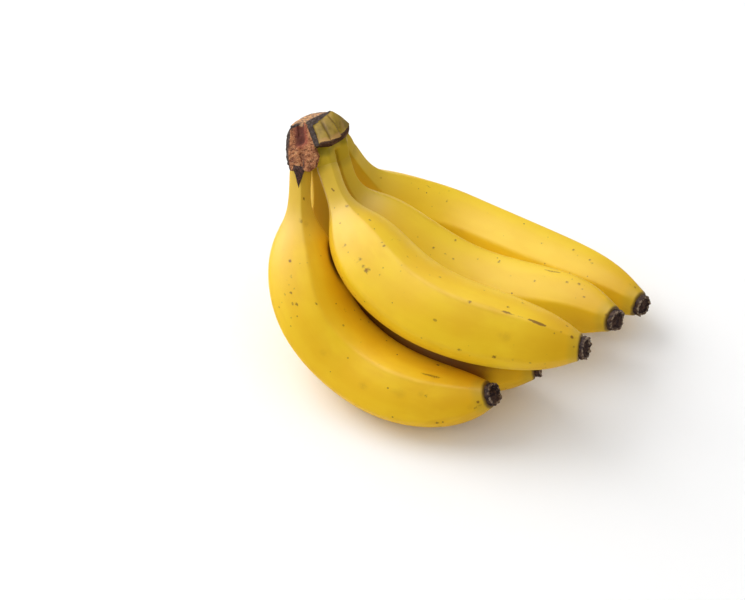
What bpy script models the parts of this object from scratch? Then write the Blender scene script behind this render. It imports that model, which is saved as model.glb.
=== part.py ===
# A bunch of five ripe bananas lying on a table, with its crown raised at the back left.
# The origin is at the middle of the bunch's box, on the table; +X runs along the bunch towards
# the blossom ends, and +Z is up.

import math
import random

import bmesh
import bpy
import numpy as np
from mathutils import Matrix, Vector

# Driving dimensions, in metres
MM = 0.001
BODY_RADIUS = 0.0188          # a full finger halfway along
STALK_RADIUS = 0.0051         # a stalk where it leaves the crown
RIDGE_HEIGHT = 0.030          # how far the five ridges stand out, as a share of the radius
GAP = 0.0003                  # clearance between neighbouring pieces
SOCKET_DEPTH = 0.0070         # how deep a stalk sits in the crown
SOCKET_GAP = 0.00045          # clearance between a stalk and its socket in the crown
COLLAR_WALL = 0.0014          # how far the crown stands out round each stalk
TISSUE_ROUGHNESS = 0.00025    # how uneven the dried tissue of the crown is
CROWN_GRAIN = 0.0006          # the finest detail kept where the crown's lumps grow together
CROWN_SHARE = 0.055           # the share of the crown's faces kept after that
GROOVE = 0.16                 # how far each rib's near face is drawn in, which leaves the grooves
BLOSSOM_LENGTH = 0.0042
BLOSSOM_RADIUS = 0.0058
SIDES = 20                    # sides round a finger, a multiple of the five ridges
PRESS_SHARE = 0.62            # how far each of two touching fingers gives way, a little over half

# Where the whole bunch is moved so that its box is centred over the origin, in mm
BUNCH_OFFSET = (-1.0, -0.7, 0.0)

# Each finger's centre line from stalk root to blossom end, in mm, how full it is compared
# with BODY_RADIUS, and how far its ridges are turned round it, in degrees
FINGERS = {
    "banana_1": {
        "line": [(-77, 28, 93), (-78, 14, 75), (-77, 1, 55), (-70, -19, 35),
                 (-53, -35, 21), (-30, -50, 17), (-7, -58, 19), (14, -64, 29)],
        "fullness": 1.00, "turn": 36},
    "banana_2": {
        "line": [(-70, 38, 83), (-69, 31, 63), (-68, 25, 38), (-56, 14, 22),
                 (-33, -5, 17), (-8, -24, 17), (16, -37, 18), (37, -40, 21)],
        "fullness": 0.96, "turn": 10},
    "banana_3": {
        "line": [(-66, 28, 93), (-60, 15, 81), (-52, 3, 70), (-37, -15, 59),
                 (-12, -34, 53), (14, -43, 50), (37, -49, 49), (56, -54, 50)],
        "fullness": 1.02, "turn": 35},
    "banana_4": {
        "line": [(-60, 39, 88), (-55, 34, 71), (-44, 28, 56), (-24, 19, 40),
                 (5, 7, 29), (34, -3, 28), (56, -11, 31), (74, -24, 35)],
        "fullness": 0.97, "turn": 30},
    "banana_5": {
        "line": [(-58, 51, 80), (-49, 54, 60), (-34, 55, 38), (-6, 53, 22),
                 (21, 41, 18), (51, 25, 17), (72, 13, 18), (90, -1, 20)],
        "fullness": 0.97, "turn": 0},
}

# The crown's lumps, in mm: the corners of each one's near face, and how far it reaches back
CROWN_LUMPS = {
    "rib_front": {"face": [(-71, 37, 106), (-67, 41, 106), (-65, 35, 106), (-62, 28, 104),
                           (-68, 27, 104)], "back": (-1, 10, -12)},
    "rib_middle": {"face": [(-68, 41, 106), (-63, 48, 104), (-59, 42, 103), (-56, 36, 100),
                            (-62, 29, 103), (-65, 36, 105)], "back": (-3, 10, -12)},
    "rib_rear": {"face": [(-63, 49, 103), (-58, 50, 99), (-53, 51, 94), (-55, 44, 93),
                          (-57, 36, 99), (-60, 43, 102)], "back": (-6, 8, -10)},
    "lip": {"face": [(-71, 24, 101), (-69, 26, 104), (-62, 26, 103), (-56, 34, 99),
                     (-52, 45, 93), (-53, 43, 90), (-57, 31, 95), (-63, 24, 99)],
            "back": (-4, 12, -7)},
    "cut_face": {"face": [(-82, 41, 101), (-77, 42, 103), (-73, 39, 105), (-70, 27, 102),
                          (-69, 22, 97), (-71, 20, 93), (-82, 22, 91), (-84, 28, 92),
                          (-84, 37, 97)], "back": (2, 12, -8)},
    "top": {"face": [(-82, 42, 100), (-78, 46, 100), (-73, 52, 98), (-63, 53, 99),
                     (-72, 40, 103)], "back": (2, 2, -12)},
    "flap": {"face": [(-80, 21, 93), (-75, 20, 94), (-74, 24, 93), (-80, 25, 93),
                      (-78, 14, 88)], "back": (0, 1, 1)},
}

# How a finger swells from its stalk to its body and narrows again: distance along the finger
# as a share of its length, and radius as a share of BODY_RADIUS
GIRTH = [(0.00, 0.27), (0.07, 0.265), (0.135, 0.30), (0.175, 0.46), (0.215, 0.68),
         (0.265, 0.86), (0.33, 0.97), (0.42, 1.00), (0.56, 0.99), (0.70, 0.96),
         (0.79, 0.89), (0.87, 0.77), (0.93, 0.61), (0.97, 0.45), (1.00, 0.32)]

# The rings of the crown's skirt round each stalk: distance along the finger as a share of its
# length, and radius as a share of STALK_RADIUS
SKIRT_RINGS = [(-0.012, 1.12), (0.04, 1.16)]
SKIRT_SIDES = 8

# Where the rings of a finger's mesh lie along it: closer together at the neck and the tip
RINGS = [0.00, 0.045, 0.09, 0.13, 0.16, 0.19, 0.22, 0.255, 0.30, 0.355, 0.42, 0.49, 0.56,
         0.63, 0.70, 0.76, 0.81, 0.855, 0.895, 0.93, 0.958, 0.98, 1.00]


def clear_scene():
    for item in list(bpy.data.objects):
        bpy.data.objects.remove(item, do_unlink=True)


def make_collection(name):
    collection = bpy.data.collections.new(name)
    bpy.context.scene.collection.children.link(collection)
    return collection


def make_material(name, colour, roughness):
    material = bpy.data.materials.new(name)
    material.use_nodes = True
    shader = material.node_tree.nodes["Principled BSDF"]
    shader.inputs["Base Color"].default_value = (*colour, 1.0)
    shader.inputs["Roughness"].default_value = roughness
    shader.inputs["Metallic"].default_value = 0.0
    material.diffuse_color = (*colour, 1.0)
    return material


def add_object(name, shape, collection, material=None):
    mesh = bpy.data.meshes.new(name)
    shape.normal_update()
    bmesh.ops.recalc_face_normals(shape, faces=shape.faces)
    shape.to_mesh(mesh)
    shape.free()
    item = bpy.data.objects.new(name, mesh)
    collection.objects.link(item)
    if material:
        mesh.materials.append(material)
        mesh.shade_smooth()
        mesh.set_sharp_from_angle(angle=math.radians(50))
    return item


def add_cutter(name, shape, collection):
    """A shape that is only there to be joined to the crown or cut out of it."""
    item = add_object(name, shape, collection)
    item.hide_render = True
    item.display_type = "WIRE"
    return item


def natural_spline(knots, values, places):
    """Smooth curve through values at knots, read at places."""
    knots = np.asarray(knots, float)
    values = np.asarray(values, float)
    count = len(knots)
    step = np.diff(knots)
    system = np.eye(count)
    right = np.zeros_like(values)
    for i in range(1, count - 1):
        system[i, i - 1] = step[i - 1]
        system[i, i] = 2 * (step[i - 1] + step[i])
        system[i, i + 1] = step[i]
        slope_after = (values[i + 1] - values[i]) / step[i]
        slope_before = (values[i] - values[i - 1]) / step[i - 1]
        right[i] = 6 * (slope_after - slope_before)
    bend = np.linalg.solve(system, right)
    part = np.clip(np.searchsorted(knots, places, side="right") - 1, 0, count - 2)
    width = step[part]
    after = (places - knots[part]) / width
    before = 1 - after
    if values.ndim > 1:
        after, before, width = after[:, None], before[:, None], width[:, None]
    curve = before * values[part] + after * values[part + 1]
    sag_before = (before ** 3 - before) * bend[part]
    sag_after = (after ** 3 - after) * bend[part + 1]
    return curve + (sag_before + sag_after) * width ** 2 / 6


def girth_at(share):
    shares, radii = np.array(GIRTH).T
    return BODY_RADIUS * natural_spline(shares, radii, np.asarray(share, float))


class Finger:
    """One banana: its centre line, its girth and the way round it."""

    def __init__(self, line, fullness, turn):
        points = (np.array(line, float) + BUNCH_OFFSET) * MM
        reach = np.concatenate([[0], np.cumsum(np.linalg.norm(np.diff(points, axis=0), axis=1))])
        fine = natural_spline(reach, points, np.linspace(0, reach[-1], 400))
        along = np.concatenate([[0], np.cumsum(np.linalg.norm(np.diff(fine, axis=0), axis=1))])
        self.length = along[-1] - BLOSSOM_LENGTH / 2
        self.share = np.linspace(0, 1, 201)
        self.centre = np.stack([np.interp(self.share * self.length, along, fine[:, k])
                                for k in range(3)], axis=1)
        self.way = np.gradient(self.centre, axis=0)
        self.way /= np.linalg.norm(self.way, axis=1)[:, None]
        self.fullness = fullness
        self.turn = math.radians(turn)
        side = np.cross(self.way[20], self.way[-20])
        self.bend_side = side / np.linalg.norm(side)

    def radius(self, share):
        swell = girth_at(share)
        body_part = np.clip((swell - STALK_RADIUS) / (BODY_RADIUS - STALK_RADIUS), 0, 1)
        return swell * (1 + (self.fullness - 1) * body_part)

    def frame(self, share):
        centre = np.array([np.interp(share, self.share, self.centre[:, k]) for k in range(3)])
        way = np.array([np.interp(share, self.share, self.way[:, k]) for k in range(3)])
        way /= np.linalg.norm(way)
        across = self.bend_side - way * (self.bend_side @ way)
        across /= np.linalg.norm(across)
        return centre, way, across, np.cross(way, across)

    def surface(self, share, angle, grow=0.0):
        """The point on the skin at a share of the length and an angle round it."""
        centre, way, across, outer = self.frame(min(max(share, 0.0), 1.0))
        body_part = math.sin(math.pi * min(max((share - 0.12) / 0.86, 0.0), 1.0)) ** 0.5
        ridge = RIDGE_HEIGHT * body_part * math.cos(5 * angle)
        reach = self.radius(np.array([share]))[0] * (1 + ridge) + grow
        beyond = (share - min(max(share, 0.0), 1.0)) * self.length
        turned = angle + self.turn
        return centre + way * beyond + (across * math.cos(turned) + outer * math.sin(turned)) * reach


def press_in(point, centre, neighbours):
    """Where two fingers would overlap, both are pressed flat against each other."""
    inward = centre - point
    inward /= np.linalg.norm(inward)
    for other in neighbours:
        distance = np.linalg.norm(other.centre - point, axis=1)
        nearest = int(distance.argmin())
        outside = other.radius(other.share[nearest:nearest + 1])[0] * (1 + RIDGE_HEIGHT)
        overlap = outside + GAP - distance[nearest]
        if overlap > 0:
            point = point + inward * overlap * PRESS_SHARE
    return point


def finger_shape(finger, neighbours, rings, grow=0.0):
    """A cylinder cut into rings, each vertex then moved to its place on the skin."""
    shape = bmesh.new()
    first, last = rings[0], rings[-1]
    bmesh.ops.create_cone(shape, cap_ends=True, segments=SIDES, radius1=1, radius2=1,
                          depth=last - first,
                          matrix=Matrix.Translation((0, 0, (first + last) / 2)))
    for share in rings[1:-1]:
        everything = shape.verts[:] + shape.edges[:] + shape.faces[:]
        bmesh.ops.bisect_plane(shape, geom=everything, plane_co=(0, 0, share),
                               plane_no=(0, 0, 1))
    for vertex in shape.verts:
        share = vertex.co.z
        angle = math.atan2(vertex.co.y, vertex.co.x)
        point = finger.surface(share, angle, grow)
        if neighbours:
            centre = finger.frame(min(max(share, 0.0), 1.0))[0]
            point = press_in(point, centre, neighbours)
        vertex.co = Vector(point)
    return shape


def flatten_underside(shape):
    """The soft skin rests on the table on a small flat spot."""
    everything = shape.verts[:] + shape.edges[:] + shape.faces[:]
    bmesh.ops.bisect_plane(shape, geom=everything, plane_co=(0, 0, 0), plane_no=(0, 0, -1),
                           clear_outer=True)
    open_edges = [edge for edge in shape.edges if edge.is_boundary]
    if open_edges:
        bmesh.ops.holes_fill(shape, edges=open_edges, sides=0)


def make_fingers(fingers, collection, material):
    for name, finger in fingers.items():
        neighbours = [other for other in fingers.values() if other is not finger]
        shape = finger_shape(finger, neighbours, RINGS)
        flatten_underside(shape)
        add_object(name, shape, collection, material)


def crown_lump(face, back, drawn_in):
    """The corners of one lump of the crown: its near face, and its far face behind it."""
    shape = bmesh.new()
    corners = [(Vector(corner) + Vector(BUNCH_OFFSET)) * MM for corner in face]
    middle = sum(corners, Vector()) / len(corners)
    for corner in corners:
        shape.verts.new(corner.lerp(middle, drawn_in))
        shape.verts.new(corner + Vector(back) * MM)
    return shape


def skirt_lump(roots):
    """The skirt round the stalk roots, where they run together below the ribs."""
    shape = bmesh.new()
    for finger in roots:
        for share, swell in SKIRT_RINGS:
            for step in range(SKIRT_SIDES):
                angle = step * math.tau / SKIRT_SIDES
                grow = STALK_RADIUS * (swell - 1)
                shape.verts.new(finger.surface(share, angle, grow))
    return shape


def wrap(shape, cuts, roughness, rng):
    """A hull round the points, cut finer, softened, and left uneven like dried tissue."""
    result = bmesh.ops.convex_hull(shape, input=shape.verts)
    spare = [item for item in result["geom_interior"] if isinstance(item, bmesh.types.BMVert)]
    bmesh.ops.delete(shape, geom=spare, context="VERTS")
    if cuts:
        bmesh.ops.subdivide_edges(shape, edges=shape.edges, cuts=cuts, use_grid_fill=True)
        bmesh.ops.smooth_vert(shape, verts=shape.verts, factor=0.25, use_axis_x=True,
                              use_axis_y=True, use_axis_z=True)
    for vertex in shape.verts:
        vertex.co += Vector([rng.uniform(-roughness, roughness) for _ in range(3)])
    return shape


def gather(shapes):
    """One shape that holds all the others, each still closed."""
    whole = bmesh.new()
    for shape in shapes:
        shape.normal_update()
        bmesh.ops.recalc_face_normals(shape, faces=shape.faces)
        mesh = bpy.data.meshes.new("lump")
        shape.to_mesh(mesh)
        shape.free()
        whole.from_mesh(mesh)
        bpy.data.meshes.remove(mesh)
    return whole


def apply_modifiers(item):
    bpy.context.view_layer.update()
    evaluated = item.evaluated_get(bpy.context.evaluated_depsgraph_get())
    finished = bpy.data.meshes.new_from_object(evaluated)
    item.modifiers.clear()
    item.data = finished


def grow_together(item):
    """The overlapping lumps become one closed skin."""
    merge = item.modifiers.new("grow together", "REMESH")
    merge.mode = "VOXEL"
    merge.voxel_size = CROWN_GRAIN
    merge.adaptivity = 0.0
    thin = item.modifiers.new("fewer faces", "DECIMATE")
    thin.ratio = CROWN_SHARE
    apply_modifiers(item)


def make_crown(fingers, collection, cutters, material):
    rng = random.Random(7)
    lumps = []
    for name, values in CROWN_LUMPS.items():
        cuts, roughness = (0, 0.0) if name == "flap" else (2, TISSUE_ROUGHNESS)
        drawn_in = GROOVE if name.startswith("rib") else 0.0
        lumps.append(wrap(crown_lump(drawn_in=drawn_in, **values), cuts, roughness, rng))
    skirted = [finger for name, finger in fingers.items() if name != "banana_1"]
    lumps.append(wrap(skirt_lump(skirted), 0, 0.0, rng))
    for finger in fingers.values():
        collar_rings = [-0.022, 0.0, 0.02, SOCKET_DEPTH / finger.length]
        lumps.append(finger_shape(finger, [], collar_rings, grow=COLLAR_WALL))
    crown = add_object("crown", gather(lumps), collection, material)
    grow_together(crown)
    for name, finger in fingers.items():
        socket_rings = [-0.003, 0.0, 0.02, 0.045, 0.09, 0.13]
        socket = finger_shape(finger, [], socket_rings, grow=SOCKET_GAP)
        add_cutter("socket_" + name, socket, cutters)
    cut = crown.modifiers.new("sockets", "BOOLEAN")
    cut.operation = "DIFFERENCE"
    cut.operand_type = "COLLECTION"
    cut.collection = cutters
    cut.solver = "EXACT"
    apply_modifiers(crown)
    crown.data.shade_smooth()
    crown.data.set_sharp_from_angle(angle=math.radians(40))


def make_blossom_ends(fingers, collection, material):
    """The dry stub of the flower at the end of each finger: a short, uneven, hollowed disc."""
    rng = random.Random(11)
    sides = 12
    for number, finger in enumerate(fingers.values(), start=1):
        centre, way, across, outer = finger.frame(1.0)
        shape = bmesh.new()
        bmesh.ops.create_cone(shape, cap_ends=True, segments=sides, radius1=1.0, radius2=1.0,
                              depth=1.0, matrix=Matrix.Translation((0, 0, 0.5)))
        everything = shape.verts[:] + shape.edges[:] + shape.faces[:]
        bmesh.ops.bisect_plane(shape, geom=everything, plane_co=(0, 0, 0.5), plane_no=(0, 0, 1))
        far_face = max(shape.faces, key=lambda face: face.calc_center_median().z)
        bmesh.ops.inset_region(shape, faces=[far_face], thickness=0.35)
        uneven = [rng.uniform(0.90, 1.06) for _ in range(sides)]
        for vertex in shape.verts:
            x, y, z = vertex.co
            reach = math.hypot(x, y)
            sector = round(math.atan2(y, x) / math.tau * sides) % sides
            radius = BLOSSOM_RADIUS * uneven[sector] * reach
            if z > 0.9:
                radius *= 0.94
            hollow = 0.25 * BLOSSOM_LENGTH if z > 0.9 and reach < 0.9 else 0.0
            along = GAP + z * BLOSSOM_LENGTH - hollow
            angle = math.atan2(y, x) + finger.turn
            vertex.co = Vector(centre + way * along
                               + (across * math.cos(angle) + outer * math.sin(angle)) * radius)
        add_object("blossom_end_" + str(number), shape, collection, material)


clear_scene()
fingers = {name: Finger(**values) for name, values in FINGERS.items()}
parts = make_collection("bunch_of_bananas")
cutters = make_collection("cutters")
skin = make_material("banana_skin", (0.82, 0.58, 0.10), 0.42)
crown_tissue = make_material("crown_tissue", (0.30, 0.20, 0.08), 0.75)
dry_blossom = make_material("dry_blossom", (0.09, 0.06, 0.05), 0.85)
make_fingers(fingers, parts, skin)
make_crown(fingers, parts, cutters, crown_tissue)
make_blossom_ends(fingers, parts, dry_blossom)
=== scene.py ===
import math

import bmesh
import bpy
import numpy as np
from mathutils import Matrix, Vector, noise
from mathutils.bvhtree import BVHTree
from mathutils.interpolate import poly_3d_calc


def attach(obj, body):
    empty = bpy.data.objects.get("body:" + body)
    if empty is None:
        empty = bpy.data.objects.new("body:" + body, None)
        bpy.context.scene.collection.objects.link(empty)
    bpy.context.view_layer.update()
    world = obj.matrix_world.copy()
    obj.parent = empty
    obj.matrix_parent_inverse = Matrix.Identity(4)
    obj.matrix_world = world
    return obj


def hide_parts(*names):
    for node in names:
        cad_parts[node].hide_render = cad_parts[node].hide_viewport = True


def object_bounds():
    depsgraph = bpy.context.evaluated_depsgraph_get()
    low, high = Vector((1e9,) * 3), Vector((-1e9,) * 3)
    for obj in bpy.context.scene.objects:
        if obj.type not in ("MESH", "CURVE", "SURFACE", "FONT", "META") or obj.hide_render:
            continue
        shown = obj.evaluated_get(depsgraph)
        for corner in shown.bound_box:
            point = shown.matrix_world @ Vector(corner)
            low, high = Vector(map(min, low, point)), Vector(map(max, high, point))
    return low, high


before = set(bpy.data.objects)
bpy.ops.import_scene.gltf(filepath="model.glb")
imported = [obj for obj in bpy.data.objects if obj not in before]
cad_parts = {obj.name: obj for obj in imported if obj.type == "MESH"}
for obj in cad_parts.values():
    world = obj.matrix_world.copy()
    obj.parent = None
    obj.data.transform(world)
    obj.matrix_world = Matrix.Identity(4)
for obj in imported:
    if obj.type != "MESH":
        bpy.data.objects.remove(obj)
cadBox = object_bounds()
print("frame loaded:", len(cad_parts), "nodes")

mm = 0.001
nearly = 0.01 * mm                 # heights this close count as the same
tiny = 1e-9                        # keeps a division from one by nought
boxMargin = 0.03 * mm              # keeps the skin inside the CAD's box
boxLow = np.array(cadBox[0]) + boxMargin
boxHigh = np.array(cadBox[1]) - boxMargin
boxLow[2] = 0.0                    # the table
bunchOffset = (-1.0, -0.7, 0.0)    # mm, the same move as in the CAD


def deselectAll():
    if bpy.context.object and bpy.context.object.mode != "OBJECT":
        bpy.ops.object.mode_set(mode="OBJECT")
    bpy.ops.object.select_all(action="DESELECT")


def selectOnly(piece):
    deselectAll()
    piece.select_set(True)
    bpy.context.view_layer.objects.active = piece


def editSelected(test):
    # in edit mode: selects the points that pass the test, and nothing else
    mesh = bpy.context.object.data
    shape = bmesh.from_edit_mesh(mesh)
    for item in list(shape.faces) + list(shape.edges):
        item.select = False
    for vertex in shape.verts:
        vertex.select = bool(test(vertex.co))
    shape.select_mode = {"VERT"}
    shape.select_flush_mode()
    bmesh.update_edit_mesh(mesh)


def atHeight(height):
    return lambda co: abs(co.z - height) < nearly


def widen(factor, test):
    # in edit mode: spreads the points that pass the test from the Z axis
    editSelected(test)
    bpy.ops.transform.resize(value=(factor, factor, 1), center_override=(0, 0, 0))


def cutAcross(height):
    # in edit mode: a ring of edges round the whole piece, square to Z
    bpy.ops.mesh.select_all(action="SELECT")
    bpy.ops.mesh.bisect(plane_co=(0, 0, height), plane_no=(0, 0, 1))


def hullPoints():
    # in edit mode: the points keep their places, and new faces wrap them
    bpy.ops.mesh.select_all(action="SELECT")
    bpy.ops.mesh.delete(type="ONLY_FACE")
    bpy.ops.mesh.select_all(action="SELECT")
    bpy.ops.mesh.convex_hull(use_existing_faces=False, join_triangles=False)


def addCylinder(name, sides, radius, depth, middle=0.0):
    deselectAll()
    bpy.ops.mesh.primitive_cylinder_add(vertices=sides, radius=radius, depth=depth,
                                        end_fill_type="NGON", location=(0, 0, middle))
    piece = bpy.context.object
    piece.name = name
    bpy.ops.object.transform_apply(location=True, rotation=True, scale=True)
    return piece


def applyModifier(piece, kind, **settings):
    selectOnly(piece)
    change = piece.modifiers.new(kind.lower(), kind)
    for name, value in settings.items():
        setattr(change, name, value)
    bpy.ops.object.modifier_apply(modifier=change.name)


def ownCopy(piece, name):
    double = bpy.data.objects.new(name, piece.data.copy())
    double.data.name = name
    bpy.context.scene.collection.objects.link(double)
    return double


def throwAway(piece):
    bpy.data.objects.remove(piece, do_unlink=True)


def readPoints(mesh):
    flat = np.empty(len(mesh.vertices) * 3)
    mesh.vertices.foreach_get("co", flat)
    return flat.reshape(-1, 3)


def writePoints(mesh, points):
    mesh.vertices.foreach_set("co", np.asarray(points, float).ravel())
    mesh.update()


def writeField(mesh, name, values, kind="FLOAT"):
    # a value or vector for every point, which the materials read by name
    field = mesh.attributes.new(name, kind, "POINT")
    key = "vector" if kind == "FLOAT_VECTOR" else "value"
    field.data.foreach_set(key, np.ascontiguousarray(values, np.float32).ravel())


def edgePairs(mesh):
    pairs = np.empty(len(mesh.edges) * 2, int)
    mesh.edges.foreach_get("vertices", pairs)
    return pairs.reshape(-1, 2)


def softened(values, edges, times=1):
    # evens out one value or vector a point with its neighbours'
    count = 1 + np.bincount(edges.ravel(), minlength=len(values))
    count = count.reshape((-1,) + (1,) * (values.ndim - 1))
    for _ in range(times):
        total = values.copy()
        np.add.at(total, edges[:, 0], values[edges[:, 1]])
        np.add.at(total, edges[:, 1], values[edges[:, 0]])
        values = total / count
    return values


def risen(values, start, width):
    # 0 up to the start and 1 from the width on; with a width below nought it falls off instead
    return np.clip((values - start) / width, 0, 1)


def placed(places):
    # places in the route's and the crown's mm, as the scene has them
    return (np.array(places, float) + bunchOffset) * mm


def faceOutwards(piece):
    selectOnly(piece)
    bpy.ops.object.mode_set(mode="EDIT")
    bpy.ops.mesh.select_all(action="SELECT")
    bpy.ops.mesh.normals_make_consistent(inside=False)
    bpy.ops.object.mode_set(mode="OBJECT")


def smoothFaces(piece):
    selectOnly(piece)
    bpy.ops.object.shade_smooth()


class Wire:
    # a value on its way through a material, which sums can be written with

    def __init__(self, look, socket):
        self.look = look
        self.socket = socket

    def math(self, operation, first, second):
        return self.look.add("ShaderNodeMath", {"operation": operation}, {0: first, 1: second})

    def __add__(self, other):
        return self.math("ADD", self, other)

    def __sub__(self, other):
        return self.math("SUBTRACT", self, other)

    def __rsub__(self, other):
        return self.math("SUBTRACT", other, self)

    def __mul__(self, other):
        return self.math("MULTIPLY", self, other)

    __radd__ = __add__
    __rmul__ = __mul__

    def ragged(self, pattern, amount):
        # moved up and down by a pattern, so that an edge worked out from it runs unevenly
        return self + (pattern - 0.5) * amount


class Look:
    # a material, the dictionary that it reads, and short ways to add nodes to it

    def __init__(self, name, form):
        self.form = form
        self.material = bpy.data.materials.new(name)
        self.material.use_nodes = True
        self.tree = self.material.node_tree
        self.shader = self.tree.nodes["Principled BSDF"]
        self.shader.inputs["Specular IOR Level"].default_value = form["specular"]

    def add(self, kind, settings=None, sockets=None, output=0):
        node = self.tree.nodes.new(kind)
        for name, value in (settings or {}).items():
            setattr(node, name, value)
        for name, value in (sockets or {}).items():
            self.feed(node.inputs[name], value)
        return Wire(self, node.outputs[output])

    def feed(self, socket, value):
        if isinstance(value, Wire):
            self.tree.links.new(value.socket, socket)
        elif isinstance(value, tuple) and len(value) == 3 and socket.type == "RGBA":
            socket.default_value = (*value, 1.0)
        else:
            socket.default_value = value

    def finish(self, **ends):
        for name, value in ends.items():
            self.feed(self.shader.inputs[name.replace("_", " ")], value)
        return self.material

    def field(self, name, output="Fac"):
        return self.add("ShaderNodeAttribute", {"attribute_name": name}, output=output)

    def place(self):
        return self.add("ShaderNodeTexCoord", output="Object")

    def stretched(self, vector, amounts):
        settings = {"operation": "MULTIPLY"}
        return self.add("ShaderNodeVectorMath", settings, {0: vector, 1: amounts})

    def noise(self, vector, scale, detail=2.0, roughness=0.5, stretch=None):
        if stretch:
            vector = self.stretched(vector, stretch)
        sockets = {"Vector": vector, "Scale": scale, "Detail": detail, "Roughness": roughness}
        return self.add("ShaderNodeTexNoise", None, sockets)

    def patterns(self, vector):
        return [self.noise(vector, *values) for values in self.form["patterns"].values()]

    def cells(self, vector, scale):
        return self.add("ShaderNodeTexVoronoi", None, {"Vector": vector, "Scale": scale})

    def ramp(self, value, low, high, start=0.0, end=1.0):
        settings = {"interpolation_type": "SMOOTHSTEP"}
        sockets = {"Value": value, "From Min": low, "From Max": high, "To Min": start,
                   "To Max": end}
        return self.add("ShaderNodeMapRange", settings, sockets)

    def mix(self, amount, first, second):
        settings = {"data_type": "RGBA", "clamp_factor": True}
        return self.add("ShaderNodeMix", settings, {0: amount, 6: first, 7: second}, output=2)

    def layered(self, base, layers):
        # each layer is a tone, by name or made before, and how much it covers those under it
        tones = self.form["tones"]
        colour = tones[base]
        for over, amount in layers:
            colour = self.mix(amount, colour, tones[over] if isinstance(over, str) else over)
        return colour

    def bump(self, height):
        distance, strength = self.form["bump"]
        sockets = {"Height": height, "Distance": distance, "Strength": strength}
        return self.add("ShaderNodeBump", None, sockets)


class Sky(Look):
    # the surroundings, put together in the same way

    def __init__(self, name):
        self.world = bpy.data.worlds.new(name)
        self.world.use_nodes = True
        self.tree = self.world.node_tree
        self.shader = self.tree.nodes["Background"]


def tone(red, green, blue):
    # a colour as a screen shows it, 0 to 255, made linear
    def linear(part):
        part = part / 255
        return part / 12.92 if part <= 0.04045 else ((part + 0.055) / 1.055) ** 2.4
    return (linear(red), linear(green), linear(blue))


fingerForm = {
    "bodyRadius": 18.8, "stalkRadius": 5.1, "straightLength": 180.0, "endLength": 4.2,
    "sides": 20, "ridges": 5, "subdivisions": 3,
    "ridgeHeights": [0.052, 0.043, 0.055, 0.045, 0.050],
    # how each line between two ridges follows the ridge's height, by its turn from the ridge
    "flats": [(0.0, 1.0), (0.25, -0.42), (0.5, -0.85), (0.75, -0.42)],
    "stalkRidge": 1.9, "crease": 0.38,
    # the shares where the stalk's ridges start, where the body's do, and where those end, and
    # how many radians from a ridge's line its points may be
    "ridgeSpan": (-0.1, 0.175, 0.985), "lineTurn": 0.02,
    # where the smoothed finger is measured against its girth, and over how much of its length
    "middle": (0.5, 0.02),
    "girth": [(0.00, 0.27), (0.07, 0.265), (0.135, 0.30), (0.175, 0.46), (0.215, 0.68),
              (0.265, 0.86), (0.33, 0.97), (0.42, 1.00), (0.56, 0.99), (0.70, 0.96),
              (0.79, 0.89), (0.87, 0.77), (0.93, 0.61), (0.97, 0.45), (1.00, 0.32)],
    "rings": [0.0, 0.045, 0.09, 0.13, 0.16, 0.19, 0.22, 0.255, 0.30, 0.355, 0.42, 0.49, 0.56,
              0.63, 0.70, 0.76, 0.81, 0.855, 0.895, 0.93, 0.958, 0.98, 0.992, 1.0],
    "pressShare": 0.66, "gap": 0.5, "standOff": 0.045, "pressSoftness": 6,
    # a slow waviness of the body, and how far one banana's patterns lie from the next one's
    "waveScale": 38, "waveHeight": 0.012, "waveApart": 7.0, "patternApart": 0.6,
    "waveStart": (0.16, 0.12), "waveEnd": (1.0, -0.08),
    # how near in mm another finger paints the skin reddish brown, partly contact browning and
    # partly painted shade in the crevice, and from which share on
    "touchShade": (1.1, 0.12), "touchShadeSoftness": 5, "touchShadeFade": 0.06, "touchShadeEnd": (0.96, -0.08),
}
# how many points a centre line is smoothed and then kept with, how many in from its ends its bend
# is measured, and which of them other fingers are measured from
courseForm = {"finePoints": 400, "points": 201, "fromEnds": 20, "everyOther": 2}

# each route runs from the stalk's root to the blossom end, in mm, and is the CAD's own
fingers = {
    "banana_1": {
        "piece": "frontBanana", "fullness": 1.00, "turn": 36, "green": 0.06,
        "route": [(-77, 28, 93), (-78, 14, 75), (-77, 1, 55), (-70, -19, 35),
                  (-53, -35, 21), (-30, -50, 17), (-7, -58, 19), (14, -64, 29)]},
    "banana_2": {
        "piece": "lowerBanana", "fullness": 0.96, "turn": 10, "green": 0.20,
        # this finger lies under the others, so its painted shade from them reaches far along it
        "touchShade": (16.0, 0.40),
        "route": [(-70, 38, 83), (-69, 31, 63), (-68, 25, 38), (-56, 14, 22),
                  (-33, -5, 17), (-8, -24, 17), (16, -37, 18), (37, -40, 21)]},
    "banana_3": {
        "piece": "upperBanana", "fullness": 1.02, "turn": 35, "green": 0.26,
        "route": [(-66, 28, 93), (-60, 15, 81), (-52, 3, 70), (-37, -15, 59),
                  (-12, -34, 53), (14, -43, 50), (37, -49, 49), (56, -54, 50)]},
    "banana_4": {
        "piece": "middleBanana", "fullness": 0.97, "turn": 30, "green": 0.55,
        "route": [(-60, 39, 88), (-55, 34, 71), (-44, 28, 56), (-24, 19, 40),
                  (5, 7, 29), (34, -3, 28), (56, -11, 31), (74, -24, 35)]},
    "banana_5": {
        "piece": "rearBanana", "fullness": 0.97, "turn": 0, "green": 0.55,
        "route": [(-58, 51, 80), (-49, 54, 60), (-34, 55, 38), (-6, 53, 22),
                  (21, 41, 18), (51, 25, 17), (72, 13, 18), (90, -1, 20)]},
}


# the photo is 745 by 600 pixels, and its camera also finds where on the skin a mark lies
camera = {"aim": (-0.044, -0.0201, 0.045), "elevation": 48.0, "distance": 1.0, "lens": 101.48,
          "sensor": 36.0, "clip": (0.05, 50.0), "photo": (745, 600)}


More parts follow.
